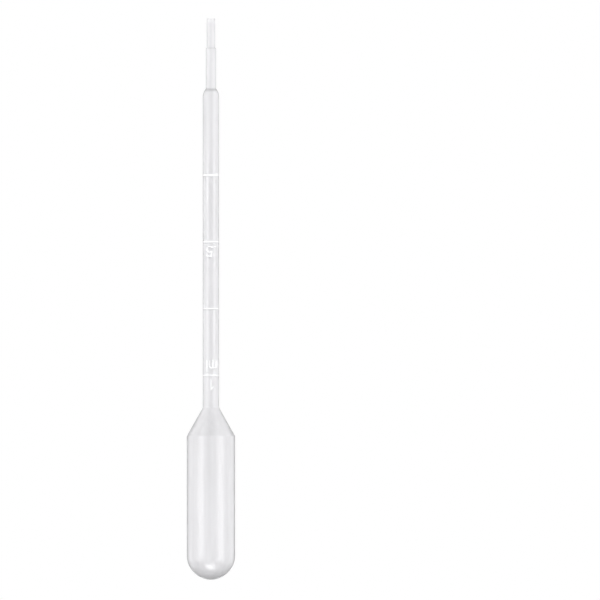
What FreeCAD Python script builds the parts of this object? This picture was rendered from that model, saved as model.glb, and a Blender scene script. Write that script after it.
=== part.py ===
import FreeCAD, Part
import math
import os

import Sketcher
from FreeCAD import Placement, Rotation, Vector

# A disposable transfer pipette, moulded in one piece of soft translucent plastic: a squeeze bulb
# closed by a round dome, a graduated stem, and a tip that steps down twice to its nozzle.
# It stands upright on its dome: the origin is the dome's lowest point, +Z runs along the axis to
# the open end of the nozzle, and the raised graduations face -Y. The one moulding is divided at
# its own edges. The bulb's left and right walls are panels that slide inwards when it is squeezed.

# The driving dimensions: alias, size in millimetres (angles in degrees), and what it measures.
SIZES = (
    ("bulb_radius", 6.65, "outside radius of the bulb and of its dome"),
    ("bulb_wall", 0.45, "wall thickness of the bulb"),
    ("bulb_wall_length", 32.95, "straight length of the bulb"),
    ("bulb_shoulder_length", 7.85, "cone from the bulb up to the stem"),
    ("panel_half_width", 5.4, "half the width of a squeezed panel, along Y"),
    ("panel_clearance", 0.1, "gap around each squeezed panel"),
    ("stem_radius", 2.22, "outside radius of the stem"),
    ("stem_wall", 0.22, "wall thickness of the stem"),
    ("stem_length", 85.95, "straight length of the stem"),
    ("tip_shoulder_length", 2.2, "rounded step from the stem to the tip"),
    ("barrel_radius", 1.375, "outside radius of the tip's wider part"),
    ("barrel_bore_radius", 0.95, "inside radius of the tip's wider part"),
    ("barrel_length", 11.4, "length of the tip's wider part"),
    ("nozzle_radius", 1.125, "outside radius of the tip's end"),
    ("nozzle_bore_radius", 0.75, "radius of the hole in the tip's end"),
    ("nozzle_length", 8.0, "length of the tip's end"),
    ("full_mark_height", 8.92, "from the stem's lower end to the 1 ml graduation"),
    ("graduation_pitch", 18.44, "between two graduations, 0.25 ml apart"),
    ("mark_relief", 0.16, "how far graduations and characters stand out of the stem"),
    ("mark_width", 0.42, "width of a graduation"),
    ("mark_half_angle", 58, "angle from the front to a graduation's end"),
    ("stroke_width", 0.4, "width of the characters' strokes"),
    ("digit_height", 3.05, "height of the digits"),
    ("digit_gap", 1.1, "from a graduation to the foot of its digit"),
    ("five_half_width", 0.66, "half the width of the five, to the middle of its strokes"),
    ("five_shift", 0.38, "from the axis to the middle of the five"),
    ("bowl_radius", 0.78, "radius of the five's bowl"),
    ("bowl_end_angle", 140, "where the bowl ends, from its far side"),
    ("flag_width", 0.62, "width of the flag at the top of the one"),
    ("flag_drop", 0.78, "height of the flag at the top of the one"),
    ("dot_radius", 0.25, "radius of the decimal point"),
    ("dot_shift", 1.08, "from the axis to the decimal point"),
    ("small_letter_height", 2.4, "height of the m"),
    ("tall_letter_height", 3.5, "height of the l"),
    ("unit_gap", 4.2, "from the 1 ml graduation to the foot of its unit"),
    ("arch_radius", 0.45, "radius of the m's two arches"),
    ("small_letter_shift", 0.5, "from the axis to the middle of the m"),
    ("tall_letter_shift", 1.15, "from the axis to the l"),
)

doc = FreeCAD.newDocument("transfer_pipette")
sheet = doc.addObject("Spreadsheet::Sheet", "Sizes")
for row, (alias, size, meaning) in enumerate(SIZES, start=1):
    sheet.set(f"A{row}", meaning)
    sheet.set(f"B{row}", str(size))
    sheet.setAlias(f"B{row}", alias)
doc.recompute()

# Levels along the axis, each worked out from the lengths below it.
BULB_BOTTOM = "Sizes.bulb_radius"
BULB_TOP = f"({BULB_BOTTOM} + Sizes.bulb_wall_length)"
STEM_BOTTOM = f"({BULB_TOP} + Sizes.bulb_shoulder_length)"
STEM_TOP = f"({STEM_BOTTOM} + Sizes.stem_length)"
BARREL_BOTTOM = f"({STEM_TOP} + Sizes.tip_shoulder_length)"
NOZZLE_BOTTOM = f"({BARREL_BOTTOM} + Sizes.barrel_length)"
FULL_MARK = f"({STEM_BOTTOM} + Sizes.full_mark_height)"
HALF_MARK = f"({FULL_MARK} + 2 * Sizes.graduation_pitch)"

BULB_BORE = "(Sizes.bulb_radius - Sizes.bulb_wall)"
STEM_BORE = "(Sizes.stem_radius - Sizes.stem_wall)"
MARK_OUTSIDE = "(Sizes.stem_radius + Sizes.mark_relief)"

# Characters read from -Y with the tip pointing down: their right is -X and their top is -Z.
FRONT = Vector(0, -1, 0)
READS_TIP_DOWN = Rotation(Vector(-1, 0, 0), Vector(0, 0, -1), FRONT, "XYZ")
VERTICAL_AXIS, START, END, CENTRE = "V_Axis", 1, 2, 3
ORIGIN_POINT, HORIZONTAL, VERTICAL = (-1, 1), -1, -2


def value(expression):
    """The number that an expression over the sizes works out to."""
    result = sheet.evalExpression(expression)
    return float(getattr(result, "Value", result))


def new_body(label, level=None):
    """A body on the pipette's axis, whose own origin is at a level above the dome's lowest point."""
    body = doc.addObject("PartDesign::Body", label)
    body.Label = label
    if level:
        body.setExpression("Placement.Base.z", level)
    return body


def new_sketch(body, role):
    """A sketch on one of a body's own origin planes."""
    plane = next(feature for feature in body.Origin.OriginFeatures if feature.Role == role)
    sketch = body.newObject("Sketcher::SketchObject", f"{body.Label}_outline")
    sketch.AttachmentSupport = [(plane, "")]
    sketch.MapMode = "FlatFace"
    return sketch


def hold(sketch, point, across=None, up=None):
    """Holds a point of a sketch at expressions for its place across and up."""
    for kind, axis, expression in (("DistanceX", VERTICAL, across), ("DistanceY", HORIZONTAL, up)):
        if expression == "0":
            sketch.addConstraint(Sketcher.Constraint("PointOnObject", *point, axis))
        elif expression:
            place = Sketcher.Constraint(kind, *ORIGIN_POINT, *point, value(expression))
            sketch.setExpression(f"Constraints[{sketch.addConstraint(place)}]", expression)


def bend(across=None, up=None, clockwise=False):
    """Makes an edge an arc: one coordinate of its centre, the other following from its ends."""
    return {"across": across, "up": up, "clockwise": clockwise}


def arc_between(start, end, curve):
    """The arc from start to end whose centre has the one coordinate that curve gives."""
    chord, balance = end - start, (end.Length ** 2 - start.Length ** 2) / 2
    if curve["across"]:
        across = value(curve["across"])
        centre = Vector(across, (balance - across * chord.x) / chord.y, 0)
    else:
        up = value(curve["up"])
        centre = Vector((balance - up * chord.y) / chord.x, up, 0)
    first, last = (end, start) if curve["clockwise"] else (start, end)
    angles = [math.atan2(spot.y - centre.y, spot.x - centre.x) for spot in (first, last)]
    circle = Part.Circle(centre, Vector(0, 0, 1), (start - centre).Length)
    return Part.ArcOfCircle(circle, *angles)


def draw(sketch, points, bends=None, closed=True):
    """Draws edges through points given as expressions. bends holds the edges that are arcs."""
    bends = bends or {}
    spots = [Vector(value(across), value(up), 0) for across, up in points]
    edges = len(points) if closed else len(points) - 1
    tails, heads = {}, {}
    for edge in range(edges):
        start, end = spots[edge], spots[(edge + 1) % len(points)]
        curve = bends.get(edge)
        line = arc_between(start, end, curve) if curve else Part.LineSegment(start, end)
        number = sketch.addGeometry(line)
        flipped = bool(curve) and curve["clockwise"]
        tails[edge] = (number, END if flipped else START)
        heads[edge] = (number, START if flipped else END)
    for edge in range(edges):
        after = (edge + 1) % len(points)
        if after in tails:
            sketch.addConstraint(Sketcher.Constraint("Coincident", *heads[edge], *tails[after]))
        else:
            hold(sketch, heads[edge], *points[after])
        hold(sketch, tails[edge], *points[edge])
    for edge, curve in bends.items():
        hold(sketch, (tails[edge][0], CENTRE), curve["across"], curve["up"])


def turned(body, points, bends=None):
    """Turns an outline, in radius and height, once around the axis."""
    outline = new_sketch(body, "XZ_Plane")
    draw(outline, points, bends)
    turn = body.newObject("PartDesign::Revolution", f"{body.Label}_turn")
    turn.Profile = outline
    turn.ReferenceAxis = (outline, [VERTICAL_AXIS])
    turn.Angle = 360
    body.Tip = turn
    return body


def raised(body, length, points, bends):
    """Raises an outline, seen from above, through a length."""
    outline = new_sketch(body, "XY_Plane")
    draw(outline, points, bends)
    pad = body.newObject("PartDesign::Pad", f"{body.Label}_pad")
    pad.Profile = outline
    pad.setExpression("Length", length)
    body.Tip = pad
    return body


def tube(label, level, length, lower, upper, lower_bore, upper_bore):
    """A round wall, straight or tapering from its lower radius to its upper one."""
    points = [(lower, "0"), (upper, length), (upper_bore, length), (lower_bore, "0")]
    return turned(new_body(label, level), points)


def tip_nozzle():
    """The tip's narrow open end."""
    wall, bore = "Sizes.nozzle_radius", "Sizes.nozzle_bore_radius"
    return tube("tip_nozzle", NOZZLE_BOTTOM, "Sizes.nozzle_length", wall, wall, bore, bore)


def tip_barrel():
    """The tip's wider part, whose bore narrows to the nozzle's."""
    wall = "Sizes.barrel_radius"
    bores = ("Sizes.barrel_bore_radius", "Sizes.nozzle_bore_radius")
    return tube("tip_barrel", BARREL_BOTTOM, "Sizes.barrel_length", wall, wall, *bores)


def tip_shoulder():
    """The rounded step between the stem and the tip: its outside curves away from the stem."""
    length = "Sizes.tip_shoulder_length"
    points = [("Sizes.stem_radius", "0"), ("Sizes.barrel_radius", length),
              ("Sizes.barrel_bore_radius", length), (STEM_BORE, "0")]
    return turned(new_body("tip_shoulder", STEM_TOP), points, {0: bend(up="0")})


def graduated_stem():
    """The long tube that holds the measured liquid."""
    wall = "Sizes.stem_radius"
    return tube("graduated_stem", STEM_BOTTOM, "Sizes.stem_length", wall, wall, STEM_BORE, STEM_BORE)


def bulb_shoulder():
    """The cone from the bulb to the stem."""
    radii = ("Sizes.bulb_radius", "Sizes.stem_radius", BULB_BORE, STEM_BORE)
    return tube("bulb_shoulder", BULB_TOP, "Sizes.bulb_shoulder_length", *radii)


def bulb_dome():
    """The hemisphere that closes the bulb."""
    radius, bore = "Sizes.bulb_radius", BULB_BORE
    points = [("0", "0"), (radius, radius), (bore, radius), ("0", "Sizes.bulb_wall")]
    return turned(new_body("bulb_dome"), points,
                  {0: bend(across="0"), 2: bend(across="0", clockwise=True)})


def bulb_panel(label, side):
    """The wall that a finger presses, to the left (side -1) or the right (side 1) of the axis."""
    edge = "Sizes.panel_half_width"
    outer = f"({side} * sqrt(Sizes.bulb_radius^2 - {edge}^2))"
    inner = f"({side} * sqrt({BULB_BORE}^2 - {edge}^2))"
    points = [(outer, f"-{edge}"), (outer, edge), (inner, edge), (inner, f"-{edge}")]
    bends = {0: bend(across="0", clockwise=side < 0), 2: bend(across="0", clockwise=side > 0)}
    body = new_body(label, f"{BULB_BOTTOM} + Sizes.panel_clearance")
    return raised(body, "Sizes.bulb_wall_length - 2 * Sizes.panel_clearance", points, bends)


def bulb_strip(label, side):
    """The wall left standing at the front (side -1) or the rear (side 1) of the bulb."""
    edge = "(Sizes.panel_half_width + Sizes.panel_clearance)"
    outer = f"sqrt(Sizes.bulb_radius^2 - {edge}^2)"
    inner = f"sqrt({BULB_BORE}^2 - {edge}^2)"
    level = f"({side} * {edge})"
    points = [(outer, level), (f"-{outer}", level), (f"-{inner}", level), (inner, level)]
    bends = {0: bend(up="0", clockwise=side < 0), 2: bend(up="0", clockwise=side > 0)}
    return raised(new_body(label, BULB_BOTTOM), "Sizes.bulb_wall_length", points, bends)


def graduation(label, level):
    """A raised line around the front of the stem, centred on a level."""
    across, up = "sin(Sizes.mark_half_angle)", "-cos(Sizes.mark_half_angle)"
    inside = "Sizes.stem_radius"
    points = [(f"-{MARK_OUTSIDE} * {across}", f"{MARK_OUTSIDE} * {up}"),
              (f"{MARK_OUTSIDE} * {across}", f"{MARK_OUTSIDE} * {up}"),
              (f"{inside} * {across}", f"{inside} * {up}"),
              (f"-{inside} * {across}", f"{inside} * {up}")]
    body = new_body(label, f"{level} - Sizes.mark_width / 2")
    return raised(body, "Sizes.mark_width", points, {0: bend(up="0"), 2: bend(up="0", clockwise=True)})


def relief_shell():
    """The thin shell around the stem that every raised character lies in."""
    rounds = {}
    for name, radius in (("outside", MARK_OUTSIDE), ("inside", "Sizes.stem_radius")):
        rounds[name] = doc.addObject("Part::Cylinder", f"relief_{name}")
        rounds[name].setExpression("Radius", radius)
        rounds[name].setExpression("Height", "Sizes.stem_length")
        rounds[name].setExpression("Placement.Base.z", STEM_BOTTOM)
    shell = doc.addObject("Part::Cut", "relief_shell")
    shell.Base, shell.Tool = rounds["outside"], rounds["inside"]
    return shell


def place_character(thing, shift, level):
    """Turns a character to read tip down, shifted to the reader's right, its foot at a level."""
    thing.Placement = Placement(Vector(), READS_TIP_DOWN)
    thing.setExpression("Placement.Base.x", f"-({shift})")
    thing.setExpression("Placement.Base.z", level)


def stroke(name, shift, level, points, bends=None):
    """A prism of a stroke: a band of even width, round at its ends, about its middle line."""
    path = doc.addObject("Sketcher::SketchObject", f"{name}_path")
    place_character(path, shift, level)
    draw(path, points, bends, closed=False)
    band = doc.addObject("Part::Offset2D", f"{name}_band")
    band.Source, band.Mode, band.Join, band.Fill = path, "Pipe", "Arc", True
    band.setExpression("Value", "Sizes.stroke_width / 2")
    prism = doc.addObject("Part::Extrusion", f"{name}_prism")
    prism.Base, prism.DirMode, prism.Dir, prism.Solid = band, "Custom", FRONT, True
    prism.setExpression("LengthFwd", f"{MARK_OUTSIDE} + Sizes.mark_relief")
    return prism


def bar(name, shift, level, length):
    """A prism of one straight upright stroke, square at its ends."""
    prism = doc.addObject("Part::Box", f"{name}_prism")
    prism.setExpression("Length", "Sizes.stroke_width")
    prism.setExpression("Width", length)
    prism.setExpression("Height", f"{MARK_OUTSIDE} + Sizes.mark_relief")
    place_character(prism, f"{shift} - Sizes.stroke_width / 2", level)
    return prism


def raised_text(label, prisms, shell):
    """Characters that stand out of the stem: where their prisms meet the relief shell."""
    if len(prisms) > 1:
        letters = doc.addObject("Part::MultiFuse", f"{label}_letters")
        letters.Shapes = prisms
    else:
        letters = prisms[0]
    text = doc.addObject("Part::Common", label)
    text.Label = label
    text.Base, text.Tool = letters, shell
    return text


def numeral_half(shell):
    """A decimal point and a five, beside the 0.5 ml graduation."""
    foot = f"{HALF_MARK} - Sizes.digit_gap"
    top = "(Sizes.digit_height - Sizes.stroke_width / 2)"
    middle = "(Sizes.bowl_radius + Sizes.stroke_width / 2)"
    reach = "Sizes.bowl_radius * cos(Sizes.bowl_end_angle)"
    rise = "Sizes.bowl_radius * sin(Sizes.bowl_end_angle)"
    corner = "-Sizes.five_half_width + Sizes.stroke_width / 3"
    points = [("Sizes.five_half_width", top), (corner, top),
              (reach, f"{middle} + {rise}"), (reach, f"{middle} - {rise}")]
    five = stroke("five", "Sizes.five_shift", foot, points, {2: bend(across="0", clockwise=True)})
    dot = doc.addObject("Part::Cylinder", "dot_prism")
    dot.setExpression("Radius", "Sizes.dot_radius")
    dot.setExpression("Height", f"{MARK_OUTSIDE} + Sizes.mark_relief")
    place_character(dot, "-Sizes.dot_shift", f"{foot} - Sizes.dot_radius")
    return raised_text("numeral_half", [five, dot], shell)


def numeral_one(shell):
    """A one, beside the 1 ml graduation."""
    top = "(Sizes.digit_height - Sizes.stroke_width / 2)"
    points = [("0", "Sizes.stroke_width / 2"), ("0", top),
              ("-Sizes.flag_width", f"{top} - Sizes.flag_drop")]
    one = stroke("one", "0", f"{FULL_MARK} - Sizes.digit_gap", points)
    return raised_text("numeral_one", [one], shell)


def unit_ml(shell):
    """The letters m and l, on the tip's side of the 1 ml graduation."""
    foot = f"{FULL_MARK} + Sizes.unit_gap"
    end, arch = "Sizes.stroke_width / 2", "2 * Sizes.arch_radius"
    spring = "(Sizes.small_letter_height - Sizes.arch_radius - Sizes.stroke_width / 2)"
    strokes = []
    for name, left, right in (("m_left", f"-{arch}", "0"), ("m_right", "0", arch)):
        points = [(left, end), (left, spring), (right, spring), (right, end)]
        bends = {1: bend(up=spring, clockwise=True)}
        strokes.append(stroke(name, "-Sizes.small_letter_shift", foot, points, bends))
    strokes.append(bar("tall_letter", "Sizes.tall_letter_shift", foot, "Sizes.tall_letter_height"))
    return raised_text("unit_ml", strokes, shell)


def build():
    """Makes every sub-part of the pipette, from the tip down."""
    shell = relief_shell()
    parts = [tip_nozzle(), tip_barrel(), tip_shoulder(), graduated_stem(), bulb_shoulder(),
             bulb_panel("bulb_left_wall", -1), bulb_panel("bulb_right_wall", 1),
             bulb_strip("bulb_front_wall", -1), bulb_strip("bulb_rear_wall", 1), bulb_dome()]
    quarters = ("graduation_1_00_ml", "graduation_0_75_ml", "graduation_0_50_ml", "graduation_0_25_ml")
    for step, label in enumerate(quarters):
        parts.append(graduation(label, f"{FULL_MARK} + {step} * Sizes.graduation_pitch"))
    parts += [numeral_half(shell), numeral_one(shell), unit_ml(shell)]
    doc.recompute()
    return parts


def check(parts):
    """Stops if any object failed, or if a sub-part isn't made of sound solids."""
    for thing in doc.Objects:
        if "Invalid" in thing.State or "Error" in thing.State:
            raise RuntimeError(f"{thing.Label} did not compute: {thing.State}")
    for part in parts:
        shape = part.Shape
        if shape.isNull() or not shape.isValid() or not shape.Solids or shape.Volume <= 0:
            raise RuntimeError(f"{part.Label} is not a sound solid")


def export(parts):
    """Writes each sub-part to a file that has its label."""
    os.makedirs("parts", exist_ok=True)
    for part in parts:
        part.Shape.exportStep(f"parts/{part.Label}.step")
        low, high = part.Shape.BoundBox.ZMin, part.Shape.BoundBox.ZMax
        print(f"{part.Label}: {len(part.Shape.Solids)} solid(s), {part.Shape.Volume:.2f} mm3, "
              f"from {low:.2f} to {high:.2f} mm")


pipette = build()
check(pipette)
export(pipette)
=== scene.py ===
import math

import bpy
import numpy as np
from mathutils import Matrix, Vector


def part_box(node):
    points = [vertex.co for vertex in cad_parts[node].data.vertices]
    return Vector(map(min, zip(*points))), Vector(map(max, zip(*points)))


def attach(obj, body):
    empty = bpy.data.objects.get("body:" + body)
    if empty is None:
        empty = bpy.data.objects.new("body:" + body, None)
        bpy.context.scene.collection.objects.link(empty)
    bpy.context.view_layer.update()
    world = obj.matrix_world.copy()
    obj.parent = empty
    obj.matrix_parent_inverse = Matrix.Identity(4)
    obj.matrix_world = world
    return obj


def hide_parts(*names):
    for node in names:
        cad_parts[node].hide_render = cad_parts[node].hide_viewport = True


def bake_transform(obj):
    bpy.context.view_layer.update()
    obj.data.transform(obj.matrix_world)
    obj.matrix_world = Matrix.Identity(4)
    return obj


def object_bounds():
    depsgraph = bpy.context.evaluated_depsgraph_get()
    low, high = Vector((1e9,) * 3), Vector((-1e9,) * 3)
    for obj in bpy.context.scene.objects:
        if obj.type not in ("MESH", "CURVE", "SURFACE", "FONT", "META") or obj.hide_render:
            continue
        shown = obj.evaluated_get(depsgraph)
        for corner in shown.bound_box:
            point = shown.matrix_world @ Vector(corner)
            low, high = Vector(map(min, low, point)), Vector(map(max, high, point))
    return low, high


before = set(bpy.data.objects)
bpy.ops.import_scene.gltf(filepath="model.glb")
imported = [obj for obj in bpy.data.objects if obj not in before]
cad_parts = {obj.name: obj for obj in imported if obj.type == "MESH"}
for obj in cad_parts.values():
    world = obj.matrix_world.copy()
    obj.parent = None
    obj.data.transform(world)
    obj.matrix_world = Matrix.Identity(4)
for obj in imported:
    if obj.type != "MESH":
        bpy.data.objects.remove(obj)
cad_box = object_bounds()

# The looks of a moulded transfer pipette: thin walls of milky plastic, whiter where raised
# graduations and characters make them thicker, on a plain pale floor in a soft studio.
# Lengths are in metres, and MM turns millimetres into metres.
MM = 0.001

# Details of the moulding that are finer than the CAD model's own sizes.
SEAM_WIDTH = 0.09 * MM          # of the ridge along the mould's parting line
SEAM_HEIGHT = 0.03 * MM
PINCH_HEIGHT = 0.06 * MM        # of the scar where the mould pinched the dome shut
PINCH_REACH = 3.0 * MM
RIM_RADIUS = 0.12 * MM
STEP_LENGTH = 0.22 * MM
STEP_RADIUS = 0.10 * MM
SHOULDER_RADIUS = 0.15 * MM
NECK_RADIUS = 0.5 * MM
CORNER_RADIUS = 0.4 * MM
MOUTH_DEPTH = 0.4 * MM
LAP = 0.4 * MM                  # how far a region reaches past its CAD node's end

# How finely round walls are divided.
COLUMNS = 120
SEAM_ANGLES = (0.35, 0.7, 1.1, 1.6, 2.2, 3.1, 4.4)    # degrees either side of the parting line
BEND_STEP = math.radians(6)
LONGEST_ROW = 1.0 * MM
NO_LENGTH = 1e-6                # of the longest normal, below which there is no direction

# Characters, drawn as rounded strokes.
STROKE = 0.4 * MM
BOWL_RADIUS = 0.78 * MM
BOWL_END = math.radians(140)
FIVE_HALF_WIDTH = 0.66 * MM
FIVE_CORNER = 0.53 * MM
FLAG_DROP = 0.78 * MM
ARCH_RADIUS = 0.45 * MM
SMALL_LETTER = 2.4 * MM
DOT_RADIUS = 0.25 * MM


# ---------------------------------------------------------------- sizes read from the frame

def reaches(node):
    """How far from the axis each point of a CAD node lies."""
    return [math.hypot(v.co.x, v.co.y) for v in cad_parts[node].data.vertices]


def levels(node):
    low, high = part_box(node)
    return low.z, high.z


NOZZLE_BORE, NOZZLE_RADIUS = min(reaches("tip_nozzle")), max(reaches("tip_nozzle"))
BARREL_BORE, BARREL_RADIUS = min(reaches("tip_shoulder")), max(reaches("tip_barrel"))
STEM_BORE, STEM_RADIUS = min(reaches("graduated_stem")), max(reaches("graduated_stem"))
BULB_RADIUS = max(reaches("bulb_shoulder"))
NOZZLE_LOW, TIP_END = levels("tip_nozzle")
BARREL_LOW = levels("tip_barrel")[0]
STEM_LOW, STEM_HIGH = levels("graduated_stem")
BULB_HIGH = levels("bulb_shoulder")[0]
BULB_LOW = levels("bulb_dome")[1]
AXIS_REACH = 0.05 * MM
BULB_WALL = max(v.co.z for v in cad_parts["bulb_dome"].data.vertices
                if math.hypot(v.co.x, v.co.y) < AXIS_REACH)
BULB_BORE = BULB_RADIUS - BULB_WALL
MARK_RELIEF = -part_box("graduation_1_00_ml")[0].y - STEM_RADIUS


# ---------------------------------------------------------------- outlines of the walls

def rounded(corners):
    """A path through (radius, level, rounding) corners, each rounded by an arc of its own."""
    path = []
    for i, (r, z, rounding) in enumerate(corners):
        here = Vector((r, z))
        if not rounding or i in (0, len(corners) - 1):
            path.append(here)
            continue
        back = (Vector(corners[i - 1][:2]) - here).normalized()
        on = (Vector(corners[i + 1][:2]) - here).normalized()
        turn = math.pi - back.angle(on)
        inset = rounding * math.tan(turn / 2)
        centre = here + (back + on).normalized() * (rounding / math.cos(turn / 2))
        spoke = here + back * inset - centre
        sign = 1 if back.x * on.y - back.y * on.x < 0 else -1
        steps = max(2, math.ceil(turn / BEND_STEP))
        for k in range(steps + 1):
            c, s = math.cos(turn * k / steps), sign * math.sin(turn * k / steps)
            path.append(centre + Vector((spoke.x * c - spoke.y * s, spoke.x * s + spoke.y * c)))
    return path


def in_short_rows(path):
    """Divides a path's long straight runs."""
    rows = [path[0]]
    for start, end in zip(path, path[1:]):
        pieces = max(1, math.ceil((end - start).length / LONGEST_ROW))
        rows += [start.lerp(end, (k + 1) / pieces) for k in range(pieces)]
    return rows


def arc(centre_r, centre_z, radius, start, end):
    """Corners along an arc, from one angle above the horizontal to another."""
    steps = math.ceil(abs(end - start) / BEND_STEP)
    angles = [start + (end - start) * k / steps for k in range(steps + 1)]
    return [(centre_r + radius * math.cos(a), centre_z + radius * math.sin(a), 0) for a in angles]


def tip_shoulder_curve():
    """From the barrel down to where the shoulder runs straight into the stem."""
    step, height = STEM_RADIUS - BARREL_RADIUS, BARREL_LOW - STEM_HIGH
    radius = (step ** 2 + height ** 2) / (2 * step)
    corners = arc(STEM_RADIUS - radius, STEM_HIGH, radius, math.asin(height / radius), 0)
    first = corners[0]
    return [(first[0], first[1], SHOULDER_RADIUS)] + corners[1:]


def outside():
    """The outside, region by region, from the nozzle's mouth to the foot of the dome."""
    neck = NOZZLE_LOW - STEP_RADIUS / 2
    barrel_end, stem_end = BARREL_LOW + LAP, STEM_LOW + LAP
    nozzle = [(NOZZLE_BORE, TIP_END - MOUTH_DEPTH, 0), (NOZZLE_BORE, TIP_END, RIM_RADIUS),
              (NOZZLE_RADIUS, TIP_END, RIM_RADIUS), (NOZZLE_RADIUS, NOZZLE_LOW, 0)]
    barrel = [(NOZZLE_RADIUS, NOZZLE_LOW, 0), (NOZZLE_RADIUS, neck, STEP_RADIUS / 2),
              (BARREL_RADIUS, NOZZLE_LOW - STEP_LENGTH, STEP_RADIUS), (BARREL_RADIUS, barrel_end, 0)]
    shoulder = [(BARREL_RADIUS, barrel_end, 0)] + tip_shoulder_curve()
    stem = [(STEM_RADIUS, STEM_HIGH, 0), (STEM_RADIUS, stem_end, 0)]
    bulb = [(STEM_RADIUS, stem_end, 0), (STEM_RADIUS, STEM_LOW, NECK_RADIUS),
            (BULB_RADIUS, BULB_HIGH, CORNER_RADIUS)] + arc(0, BULB_LOW, BULB_RADIUS, 0, -math.pi / 2)
    return [in_short_rows(rounded(part)) for part in (nozzle, barrel, shoulder, stem, bulb)]


def inside():
    """The bore, in the same regions and the same order."""
    barrel_end, stem_end = BARREL_LOW + LAP, STEM_LOW + LAP
    nozzle = [(NOZZLE_BORE, TIP_END - MOUTH_DEPTH, 0), (NOZZLE_BORE, NOZZLE_LOW, 0)]
    barrel = [(NOZZLE_BORE, NOZZLE_LOW, 0), (BARREL_BORE, barrel_end, 0)]
    shoulder = [(BARREL_BORE, barrel_end, 0), (BARREL_BORE, BARREL_LOW, SHOULDER_RADIUS),
                (STEM_BORE, STEM_HIGH, 0)]
    stem = [(STEM_BORE, STEM_HIGH, 0), (STEM_BORE, stem_end, 0)]
    bulb = [(STEM_BORE, stem_end, 0), (STEM_BORE, STEM_LOW, NECK_RADIUS),
            (BULB_BORE, BULB_HIGH, CORNER_RADIUS)] + arc(0, BULB_LOW, BULB_BORE, 0, -math.pi / 2)
    return [in_short_rows(rounded(part)) for part in (nozzle, barrel, shoulder, stem, bulb)]


# ---------------------------------------------------------------- round walls as meshes

def column_angles():
    """Angles around the axis, from the rear: even, and closer beside the parting line at each side."""
    even = [2 * math.pi * k / COLUMNS for k in range(COLUMNS)]
    rear = math.pi / 2
    beside_seam = [quarter * rear + sign * math.radians(a)
                   for quarter in (1, 3) for sign in (-1, 1) for a in SEAM_ANGLES]
    return np.array(sorted(even + beside_seam)) + rear


ANGLES = column_angles()
FRONT = int(np.argmin(abs(ANGLES - 1.5 * math.pi)))


def ridge(r, z):
    """Height of the parting line's ridge, which grows into a scar across the foot of the dome."""
    scar = np.clip(1 - np.abs(r * np.cos(ANGLES)) / PINCH_REACH, 0, 1) * (z < BULB_LOW)
    height = SEAM_HEIGHT + PINCH_HEIGHT * scar * scar * (3 - 2 * scar)
    return height * np.exp(-(r * np.sin(ANGLES) / SEAM_WIDTH) ** 2)


def surface(rows, ridged):
    """Points and outward normals of a turned wall, row by row and column by column."""
    path = np.array([tuple(row) for row in rows])
    along = np.gradient(path, axis=0)
    along /= np.linalg.norm(along, axis=1, keepdims=True)
    out_r, out_z = -along[:, 1:2], along[:, 0:1]
    r, z = path[:, 0:1], path[:, 1:2]
    if ridged:
        rise = ridge(r, z)
        r, z = r + rise * out_r, z + rise * out_z
    points = np.stack([r * np.cos(ANGLES), r * np.sin(ANGLES), z + 0 * ANGLES], axis=-1)
    down = np.gradient(points, axis=0)
    around = np.roll(points, -1, axis=1) - np.roll(points, 1, axis=1)
    normals = np.cross(down, around)
    length = np.linalg.norm(normals, axis=-1, keepdims=True)
    at_pole = length < np.max(length) * NO_LENGTH
    return points, np.where(at_pole, (0, 0, -1), normals / np.where(at_pole, 1, length))


def cut_into_regions(parts, ridged):
    """Each region's share of one continuous surface, so that shading runs on from one to the next."""
    rows, spans = [parts[0][0]], []
    for part in parts:
        spans.append((len(rows) - 1, len(rows) + len(part) - 2))
        rows += part[1:]
    points, normals = surface(rows, ridged)
    return [(points[a:b + 1], normals[a:b + 1]) for a, b in spans]


def grid_faces(start, rows, count, wraps, closed_end):
    """Faces between a grid's points. With a closed end, the last row is one point."""
    faces = []
    for i in range(rows - 1):
        for j in range(count if wraps else count - 1):
            a, b = start + i * count + j, start + i * count + (j + 1) % count
            if closed_end and i == rows - 2:
                faces.append((a, start + (rows - 1) * count, b))
            else:
                faces.append((a, a + count, b + count, b))
    return faces


def wall_piece(name, outer, inner, columns, closed_end):
    """A wall's outer and inner surface as one object."""
    points, normals, faces = [], [], []
    wraps = len(columns) == len(ANGLES)
    for (grid, grid_normals), sign in ((outer, 1), (inner, -1)):
        new = grid_faces(len(points), len(grid), len(columns), wraps, closed_end)
        faces += new if sign > 0 else [face[::-1] for face in new]
        grid = grid[:, columns].reshape(-1, 3)
        grid_normals = sign * grid_normals[:, columns].reshape(-1, 3)
        if closed_end:
            keep = len(grid) - len(columns) + 1
            grid, grid_normals = grid[:keep], grid_normals[:keep]
        points += grid.tolist()
        normals += grid_normals.tolist()
    return mesh_piece(name, points, faces, normals)


def mesh_piece(name, points, faces, normals=None):
    """A smooth mesh object, with its own normals if they are given."""
    mesh = bpy.data.meshes.new(name)
    mesh.from_pydata(points, [], faces)
    mesh.shade_smooth()
    if normals:
        mesh.normals_split_custom_set_from_vertices(normals)
    piece = bpy.data.objects.new(name, mesh)
    bpy.context.collection.objects.link(piece)
    return piece


def build_walls():
    """The pipette's walls. The bulb is a left and a right half."""
    outer, inner = cut_into_regions(outside(), True), cut_into_regions(inside(), False)
    all_round = list(range(len(ANGLES)))
    static = ("nozzle_wall", "barrel_wall", "shoulder_wall", "stem_wall")
    walls = {n: wall_piece(n, outer[i], inner[i], all_round, False) for i, n in enumerate(static)}
    halves = {"bulb_left_half": all_round[:FRONT + 1], "bulb_right_half": all_round[FRONT:] + [0]}
    for name, columns in halves.items():
        walls[name] = wall_piece(name, outer[-1], inner[-1], columns, True)
    return walls


# ---------------------------------------------------------------- raised marks

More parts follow.
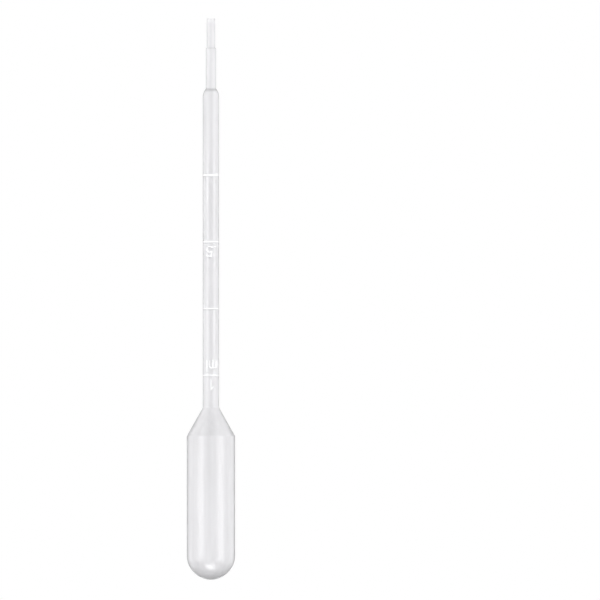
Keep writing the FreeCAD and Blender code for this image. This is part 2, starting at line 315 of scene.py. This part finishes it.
MARK_STRETCH = 1.3              # how much higher a mark stands than the CAD node it replaces
MARK_HEIGHT = MARK_RELIEF * MARK_STRETCH
MARK_ROOT = 0.03 * MM           # how deep a mark reaches into the wall
BEAD_SIDES = 12
LINE_STEPS = 40                 # either side of the middle of a graduation
CAP_ANGLES = [math.radians(a) for a in (85, 68, 48, 28, 10)]
BLOB = 0.35                     # how much wider a graduation is at its left end
BLOB_REACH = 0.45 * MM


def on_stem(spot, rise):
    """The point at a height over the stem's front whose (x, z) at the wall is a spot."""
    angle = math.asin(max(-1, min(1, spot.x / STEM_RADIUS)))
    reach = STEM_RADIUS + rise
    return (reach * math.sin(angle), -reach * math.cos(angle), spot.y)


def bead(path, width, height, widening=None):
    """A rounded bead along a path of (x, z) spots on the stem's front, as points and faces."""
    spots = [Vector(spot) for spot in path]
    half = width / 2
    first, last = (spots[0] - spots[1]).normalized(), (spots[-1] - spots[-2]).normalized()
    rings = [(spots[0] + first * half * math.sin(a), -first, math.cos(a)) for a in CAP_ANGLES]
    for i, spot in enumerate(spots):
        ahead = (spots[min(i + 1, len(spots) - 1)] - spots[max(i - 1, 0)]).normalized()
        rings.append((spot, ahead, 1))
    rings += [(spots[-1] + last * half * math.sin(a), last, math.cos(a)) for a in reversed(CAP_ANGLES)]
    points, faces = [], []
    for spot, ahead, share in rings:
        share *= widening(spot) if widening else 1
        side = Vector((-ahead.y, ahead.x)) * half * share
        turns = [math.pi * k / BEAD_SIDES for k in range(BEAD_SIDES + 1)]
        points += [on_stem(spot + side * math.cos(a), height * share * math.sin(a)) for a in turns]
        points += [on_stem(spot - side, -MARK_ROOT), on_stem(spot + side, -MARK_ROOT)]
    count = BEAD_SIDES + 3
    for i in range(len(rings) - 1):
        for k in range(count):
            a, b = i * count + k, i * count + (k + 1) % count
            faces.append((a, b, b + count, a + count))
    faces.append(tuple(range(count))[::-1])
    faces.append(tuple(range(len(points) - count, len(points))))
    return points, faces


def marks_piece(name, beads):
    """One object of several beads."""
    points, faces = [], []
    for bead_points, bead_faces in beads:
        faces += [tuple(k + len(points) for k in face) for face in bead_faces]
        points += bead_points
    return mesh_piece(name, points, faces)


def curve(centre_x, centre_z, radius, start, end, steps=24):
    """Spots along an arc whose angles are a reader's, who holds the pipette tip down."""
    angles = [start + (end - start) * k / steps for k in range(steps + 1)]
    return [(centre_x - radius * math.cos(a), centre_z - radius * math.sin(a)) for a in angles]


def straight(start, end, steps=12):
    return [tuple(Vector(start).lerp(Vector(end), k / steps)) for k in range(steps + 1)]


def graduation_line(node):
    """A raised line around the stem's front, a little thicker where the mould filled it last."""
    low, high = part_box(node)
    level = (low.z + high.z) / 2
    end = math.asin(high.x / (STEM_RADIUS + MARK_RELIEF))
    steps = range(-LINE_STEPS, LINE_STEPS + 1)
    path = [(STEM_RADIUS * math.sin(end * k / LINE_STEPS), level) for k in steps]
    left = path[0][0]

    def widening(spot):
        return 1 + BLOB * math.exp(-((spot.x - left) / BLOB_REACH) ** 2)
    return [bead(path, high.z - low.z, MARK_HEIGHT, widening)]


def strokes(paths):
    return [bead(path, STROKE, MARK_HEIGHT) for path in paths]


def digits_half(node):
    """A five with a decimal point. Characters read with the tip down, so up is -Z and right is -X."""
    low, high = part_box(node)
    end = STROKE / 2
    x, middle, top = low.x + BOWL_RADIUS + end, high.z - BOWL_RADIUS - end, low.z + end
    corner, bowl = (x + FIVE_CORNER, top), curve(x, middle, BOWL_RADIUS, BOWL_END, -BOWL_END)
    bar = straight((x - FIVE_HALF_WIDTH, top), corner)
    back = straight(corner, bowl[0])
    dot_x, dot_z = high.x - DOT_RADIUS, high.z - DOT_RADIUS
    tiny = DOT_RADIUS / 10
    dot = bead([(dot_x - tiny, dot_z), (dot_x + tiny, dot_z)], 2 * DOT_RADIUS, MARK_HEIGHT)
    return strokes([bar, back, bowl]) + [dot]


def digit_one(node):
    low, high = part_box(node)
    end = STROKE / 2
    top = (0, low.z + end)
    flag = (high.x - end, low.z + end + FLAG_DROP)
    return strokes([straight((0, high.z - end), top), straight(top, flag)])


def letters_ml(node):
    low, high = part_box(node)
    end = STROKE / 2
    foot, spring = high.z - end, high.z - SMALL_LETTER + ARCH_RADIUS + end
    middle = high.x - end - 2 * ARCH_RADIUS
    paths = [straight((low.x + end, foot), (low.x + end, low.z + end))]
    for side in (1, -1):
        centre = middle + side * ARCH_RADIUS
        leg = middle + 2 * side * ARCH_RADIUS
        paths += [straight((leg, foot), (leg, spring)), curve(centre, spring, ARCH_RADIUS, math.pi, 0)]
    paths.append(straight((middle, foot), (middle, spring)))
    return strokes(paths)


def build_marks():
    """Raised marks, each with the CAD node that it stands for."""
    makers = {"numeral_half": digits_half, "numeral_one": digit_one, "unit_ml": letters_ml}
    marks = {}
    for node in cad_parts:
        if node.startswith("graduation_"):
            marks[node] = marks_piece(node.replace("graduation", "line"), graduation_line(node))
        elif node in makers:
            marks[node] = marks_piece(makers[node].__name__, makers[node](node))
    return marks


# ---------------------------------------------------------------- materials

def maths(nodes, links, operation, *values):
    """A Math node's output, from numbers or other outputs."""
    node = nodes.new("ShaderNodeMath")
    node.operation = operation
    for socket, value in zip(node.inputs, values):
        if isinstance(value, (int, float)):
            socket.default_value = value
        else:
            links.new(value, socket)
    return node.outputs[0]


def colours(nodes, links, position, stops, interpolation="LINEAR"):
    """A ramp from (position, colour) stops, where a colour may be one grey."""
    node = nodes.new("ShaderNodeValToRGB")
    ramp = node.color_ramp
    ramp.interpolation = interpolation
    for place, _ in stops[1:-1]:
        ramp.elements.new(place)
    for element, (place, colour) in zip(ramp.elements, stops):
        element.position = place
        element.color = (*colour, 1) if isinstance(colour, tuple) else (colour, colour, colour, 1)
    links.new(position, node.inputs[0])
    return node.outputs["Color"]


def noise(nodes, links, scale, detail, stretch=(1, 1, 1)):
    """Noise in the object's own space, with a feature size of about 1/scale metres."""
    place = nodes.new("ShaderNodeTexCoord").outputs["Object"]
    mapping = nodes.new("ShaderNodeMapping")
    mapping.inputs["Scale"].default_value = stretch
    links.new(place, mapping.inputs["Vector"])
    node = nodes.new("ShaderNodeTexNoise")
    node.inputs["Scale"].default_value = scale
    node.inputs["Detail"].default_value = detail
    links.new(mapping.outputs[0], node.inputs["Vector"])
    return node.outputs["Fac"]


# Thin milky plastic. Its tints, coats and roughness were fitted to one photo's tones, not measured.
REFRACTION = 1.51
SKIN_TRANSMISSION = 0.5
SKIN_ROUGHNESS = 0.33
ROUGHNESS_SPREAD = 0.12         # between the glossiest and the dullest blotch
SKIN_SPECULAR = 0.1
SKIN_COAT_ROUGHNESS = 0.19
BULB_TINT = (0.905, 0.901, 0.915)
STEM_TINT = (0.906, 0.903, 0.917)
MARK_TINT = (0.92, 0.92, 0.93)
MARK_TRANSMISSION = 0.12
BULB_COAT = 0.65
STEM_COAT = 1.0
MARK_COAT = 0.3

# Painted shade: darker rings in the colour at the tip's two steps, standing in for the shade where the
# wall steps in.
STEP_SHADE_RING = 0.3 * MM
STEP_SHADE_KEPT = 0.9
SHOULDER_DROP = 0.25 * MM
SHOULDER_SHADE_RING = 0.7 * MM
SHOULDER_SHADE_KEPT = 0.74

# Noise: faint streaks along the axis in the colour, blotches in the gloss, and a grain in the bump.
STREAKS = 900
STREAK_STRETCH = (1, 1, 0.04)
SKIN_STREAK = 0.03              # how much darker and lighter the streaks are than the tint
MARK_STREAK = 0.01
DARK_UP_TO = 0.35               # of the noise
LIGHT_FROM = 0.65
BLOTCHES = 500
GRAIN = 1600
GRAIN_STRETCH = (1, 1, 0.35)
SKIN_BUMP = 0.25
BUMP_DEPTH = 0.02 * MM


def polyethylene(name, tint, transmission, coat, streak=SKIN_STREAK, rings=()):
    """Natural low-density polyethylene: milky and waxy, with faint streaks along its flow.

    Rings are (level, half width, share of light kept): painted shade, darker rings in the colour where
    the wall steps in."""
    material = bpy.data.materials.new(name)
    material.use_nodes = True
    nodes, links = material.node_tree.nodes, material.node_tree.links
    shader = nodes["Principled BSDF"]
    shader.inputs["IOR"].default_value = REFRACTION
    shader.inputs["Transmission Weight"].default_value = transmission
    shader.inputs["Specular IOR Level"].default_value = SKIN_SPECULAR
    shader.inputs["Coat Weight"].default_value = coat
    shader.inputs["Coat Roughness"].default_value = SKIN_COAT_ROUGHNESS
    streaks = noise(nodes, links, STREAKS, detail=3, stretch=STREAK_STRETCH)
    darker = tuple(c * (1 - streak) for c in tint)
    lighter = tuple(min(1, c * (1 + streak)) for c in tint)
    colour = colours(nodes, links, streaks, [(DARK_UP_TO, darker), (LIGHT_FROM, lighter)])
    if rings:
        # Painted shade: the colour is darkened in rings where the wall steps in.
        colour = painted_shade_rings(nodes, links, colour, rings)
    links.new(colour, shader.inputs["Base Color"])
    blotches = noise(nodes, links, BLOTCHES, detail=3)
    smoothest = SKIN_ROUGHNESS - ROUGHNESS_SPREAD / 2
    rough = maths(nodes, links, "MULTIPLY_ADD", blotches, ROUGHNESS_SPREAD, smoothest)
    links.new(rough, shader.inputs["Roughness"])
    grain = noise(nodes, links, GRAIN, detail=4, stretch=GRAIN_STRETCH)
    bump = nodes.new("ShaderNodeBump")
    bump.inputs["Strength"].default_value = SKIN_BUMP
    bump.inputs["Distance"].default_value = BUMP_DEPTH
    links.new(grain, bump.inputs["Height"])
    links.new(bump.outputs[0], shader.inputs["Normal"])
    return material


def painted_shade_rings(nodes, links, colour, rings):
    """Paints shade into a colour: darkens it in soft rings around the axis."""
    split = nodes.new("ShaderNodeSeparateXYZ")
    links.new(nodes.new("ShaderNodeTexCoord").outputs["Object"], split.inputs[0])
    for level, half_width, kept in rings:
        away = maths(nodes, links, "ABSOLUTE", maths(nodes, links, "SUBTRACT", split.outputs[2], level))
        share = maths(nodes, links, "DIVIDE", away, half_width)
        shade = colours(nodes, links, share, [(0.0, kept), (1.0, 1.0)], "EASE")
        node = nodes.new("ShaderNodeMix")
        node.data_type, node.blend_type = "RGBA", "MULTIPLY"
        node.inputs[0].default_value = 1
        links.new(colour, node.inputs[6])
        links.new(shade, node.inputs[7])
        colour = node.outputs[2]
    return colour


def finish_pieces(walls, marks):
    """Gives each piece its material and hides the CAD nodes that it stands for. The pieces other than
    the bulb's halves hang from the root body.
    """
    # Painted shade at the tip's two steps, as (level, half width, share of light kept).
    rings = [(NOZZLE_LOW - STEP_LENGTH / 2, STEP_SHADE_RING, STEP_SHADE_KEPT),
             (BARREL_LOW - SHOULDER_DROP, SHOULDER_SHADE_RING, SHOULDER_SHADE_KEPT)]
    bulb = polyethylene("bulb_milky", BULB_TINT, SKIN_TRANSMISSION, BULB_COAT)
    stem = polyethylene("stem_milky", STEM_TINT, SKIN_TRANSMISSION, STEM_COAT, rings=rings)
    tip = polyethylene("tip_milky", STEM_TINT, SKIN_TRANSMISSION, STEM_COAT, rings=rings)
    white = polyethylene("mark_white", MARK_TINT, MARK_TRANSMISSION, MARK_COAT, MARK_STREAK)
    finishes = {
        "nozzle_wall": (tip, "tip_plastic", ["tip_nozzle"]),
        "barrel_wall": (tip, "tip_plastic", ["tip_barrel"]),
        "shoulder_wall": (tip, "tip_plastic", ["tip_shoulder"]),
        "stem_wall": (stem, "stem_plastic", ["graduated_stem"]),
        # The two halves cover these six nodes together, and neither covers its own three alone.
        "bulb_left_half": (bulb, "bulb_plastic", ["bulb_left_wall", "bulb_front_wall", "bulb_shoulder"]),
        "bulb_right_half": (bulb, "bulb_plastic", ["bulb_right_wall", "bulb_rear_wall", "bulb_dome"]),
    }
    for name, (material, slot, nodes) in finishes.items():
        walls[name].data.materials.append(material)
        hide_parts(*nodes)
        if not name.startswith("bulb"):
            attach(walls[name], "root")
    for side, word in ((-1, "left"), (1, "right")):
        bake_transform(walls[f"bulb_{word}_half"])
    for node, mark in marks.items():
        mark.data.materials.append(white)
        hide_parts(node)
        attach(mark, "root")


# ---------------------------------------------------------------- studio

# Radiance of the surroundings by direction, before the gain: by azimuth, in degrees from the camera's
# side and the same to the left and to the right, with a darker ceiling and a ground of its own below.
AROUND = (
    (0, 0.62), (28, 0.62), (41, 3.05), (59, 3.05), (75, 1.15), (100, 1.3),
    (130, 1.3), (141, 0.15), (165, 0.15), (172, 0.8), (180, 0.8),
)
CEILING = 0.02
CEILING_START = 0.77
CEILING_FULL = 0.82
GROUND_FRONT = 0.5
GROUND_REAR = 0.05
GROUND_START = 0.3
GROUND_FULL = 0.6
FRONT_UP_TO = 0.4               # of the way from the camera's side to the far side
REAR_FROM = 0.6
PEAK = 4.0                      # a ramp's white stands for this radiance
GAIN = 1.25

# Lamps: azimuth from the camera's side and elevation, in degrees, and width and height.
LAMP_DISTANCE = 0.2
UNDER_DOME = (0, -55)
OVER_MARKS = (25, 50)
HIGHLIGHT_SIZE = (0.14, 0.095)
HIGHLIGHT_RADIANCE = 6.3
FILL_SIZE = (0.16, 0.10)
FILL_RADIANCE = 2.8
KEY_SIZE = (0.2, 0.1)
KEY_RADIANCE = 2.3

FLOOR_GREY = 0.65
FLOOR_ROUGHNESS = 0.9
FLOOR_HALF = 1.5
FLOOR_LEVEL = -0.1 * MM         # below the scar under the dome

# The camera.
OBJECT_SHARE = 0.9345           # of the picture's height, that the object takes
SIDE_SHARE = 0.1484             # of the picture's height, to the right of the object's axis
LEVEL_SHARE = 0.4983            # of the object's height, above the frame's origin
CAMERA_DISTANCE = 0.6


def blend_colours(nodes, links, factor, first, second):
    """A mix of two colour outputs."""
    node = nodes.new("ShaderNodeMix")
    node.data_type = "RGBA"
    colour_a, colour_b, result = node.inputs[6], node.inputs[7], node.outputs[2]
    links.new(factor, node.inputs[0])
    links.new(first, colour_a)
    links.new(second, colour_b)
    return result


def build_world():
    """Soft surroundings that light the object, and plain white where the camera sees past it."""
    world = bpy.data.worlds.new("studio")
    bpy.context.scene.world = world
    world.use_nodes = True
    nodes, links = world.node_tree.nodes, world.node_tree.links
    split = nodes.new("ShaderNodeSeparateXYZ")
    links.new(nodes.new("ShaderNodeTexCoord").outputs["Generated"], split.inputs[0])
    x, y, z = split.outputs
    toward_camera = maths(nodes, links, "MULTIPLY", y, -1)
    down = maths(nodes, links, "MULTIPLY", z, -1)
    azimuth = maths(nodes, links, "ARCTAN2", maths(nodes, links, "ABSOLUTE", x), toward_camera)
    share = maths(nodes, links, "DIVIDE", azimuth, math.pi)
    around = colours(nodes, links, share, [(a / 180, v / PEAK) for a, v in AROUND], "EASE")
    above = colours(nodes, links, z, [(CEILING_START, 0.0), (CEILING_FULL, 1.0)], "EASE")
    ceiling = colours(nodes, links, z, [(0, CEILING / PEAK), (1, CEILING / PEAK)])
    below = colours(nodes, links, down, [(GROUND_START, 0.0), (GROUND_FULL, 1.0)], "EASE")
    ahead = maths(nodes, links, "MULTIPLY_ADD", y, 0.5, 0.5)
    front, rear = (FRONT_UP_TO, GROUND_FRONT / PEAK), (REAR_FROM, GROUND_REAR / PEAK)
    ground = colours(nodes, links, ahead, [front, rear], "EASE")
    sides = blend_colours(nodes, links, above, around, ceiling)
    light = blend_colours(nodes, links, below, sides, ground)
    lit, plain = nodes["Background"], nodes.new("ShaderNodeBackground")
    lit.inputs["Strength"].default_value = PEAK * GAIN
    links.new(light, lit.inputs["Color"])
    plain.inputs["Color"].default_value = (1, 1, 1, 1)
    seen = nodes.new("ShaderNodeMixShader")
    links.new(nodes.new("ShaderNodeLightPath").outputs["Is Camera Ray"], seen.inputs[0])
    links.new(lit.outputs[0], seen.inputs[1])
    links.new(plain.outputs[0], seen.inputs[2])
    links.new(seen.outputs[0], nodes["World Output"].inputs["Surface"])


def lamp(name, direction, level, size, radiance, pieces, gloss, body):
    """A soft lamp, aimed at a level on the axis, that lights only the given pieces.

    It may light their gloss only, their body only, or both. The camera doesn't see it."""
    lit = bpy.data.collections.new(f"lit_by_{name}")
    for piece in pieces:
        lit.objects.link(piece)
    light = bpy.data.lights.new(name, "AREA")
    light.shape = "ELLIPSE"
    light.size, light.size_y = size
    area = math.pi * size[0] * size[1] / 4
    light.energy = radiance * math.pi * area
    holder = bpy.data.objects.new(name, light)
    turn, tilt = (math.radians(angle) for angle in direction)
    away = (math.sin(turn) * math.cos(tilt), -math.cos(turn) * math.cos(tilt), math.sin(tilt))
    holder.location = Vector((0, 0, level)) + Vector(away) * LAMP_DISTANCE
    holder.rotation_euler = Vector(away).to_track_quat("Z", "Y").to_euler()
    holder.visible_camera = False
    holder.visible_glossy = gloss
    holder.visible_diffuse = body
    holder.visible_transmission = body
    bpy.context.collection.objects.link(holder)
    holder.light_linking.receiver_collection = lit
    holder.light_linking.blocker_collection = lit


def build_lamps(walls, marks):
    """A highlight and a weak fill under the dome, and a lamp from above for the raised marks."""
    foot = 0
    mean_level = sum(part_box(n)[0].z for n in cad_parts) / len(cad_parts)
    highlight, fill, key = HIGHLIGHT_RADIANCE, FILL_RADIANCE, KEY_RADIANCE
    lamp("dome_highlight", UNDER_DOME, foot, HIGHLIGHT_SIZE, highlight, walls, gloss=True, body=False)
    lamp("dome_fill", UNDER_DOME, foot, FILL_SIZE, fill, walls, gloss=False, body=True)
    lamp("marks_key", OVER_MARKS, mean_level, KEY_SIZE, key, marks, gloss=True, body=True)


def build_floor():
    """A plain pale floor just under the dome. Gloss and light through the plastic look past it."""
    sides = ((-1, -1), (1, -1), (1, 1), (-1, 1))
    corners = [(x * FLOOR_HALF, y * FLOOR_HALF, FLOOR_LEVEL) for x, y in sides]
    floor = mesh_piece("floor", corners, [(0, 1, 2, 3)])
    floor.visible_glossy = False
    floor.visible_transmission = False
    material = bpy.data.materials.new("floor_matt")
    material.use_nodes = True
    shader = material.node_tree.nodes["Principled BSDF"]
    shader.inputs["Base Color"].default_value = (FLOOR_GREY, FLOOR_GREY, FLOOR_GREY, 1)
    shader.inputs["Roughness"].default_value = FLOOR_ROUGHNESS
    floor.data.materials.append(material)


def build_camera():
    """Looks level along +Y, with the object to the left of the picture's middle."""
    height = cad_box[1].z - cad_box[0].z
    camera = bpy.data.cameras.new("camera")
    camera.type = "ORTHO"
    camera.ortho_scale = height / OBJECT_SHARE
    holder = bpy.data.objects.new("camera", camera)
    aside, up = camera.ortho_scale * SIDE_SHARE, height * LEVEL_SHARE
    holder.location = (aside, -CAMERA_DISTANCE, up)
    holder.rotation_euler = (math.pi / 2, 0, 0)
    bpy.context.collection.objects.link(holder)
    bpy.context.scene.camera = holder
    bpy.context.scene.view_settings.view_transform = "Standard"


walls, marks = build_walls(), build_marks()
finish_pieces(walls, marks)
build_world()
build_floor()
build_lamps(walls.values(), marks.values())
build_camera()
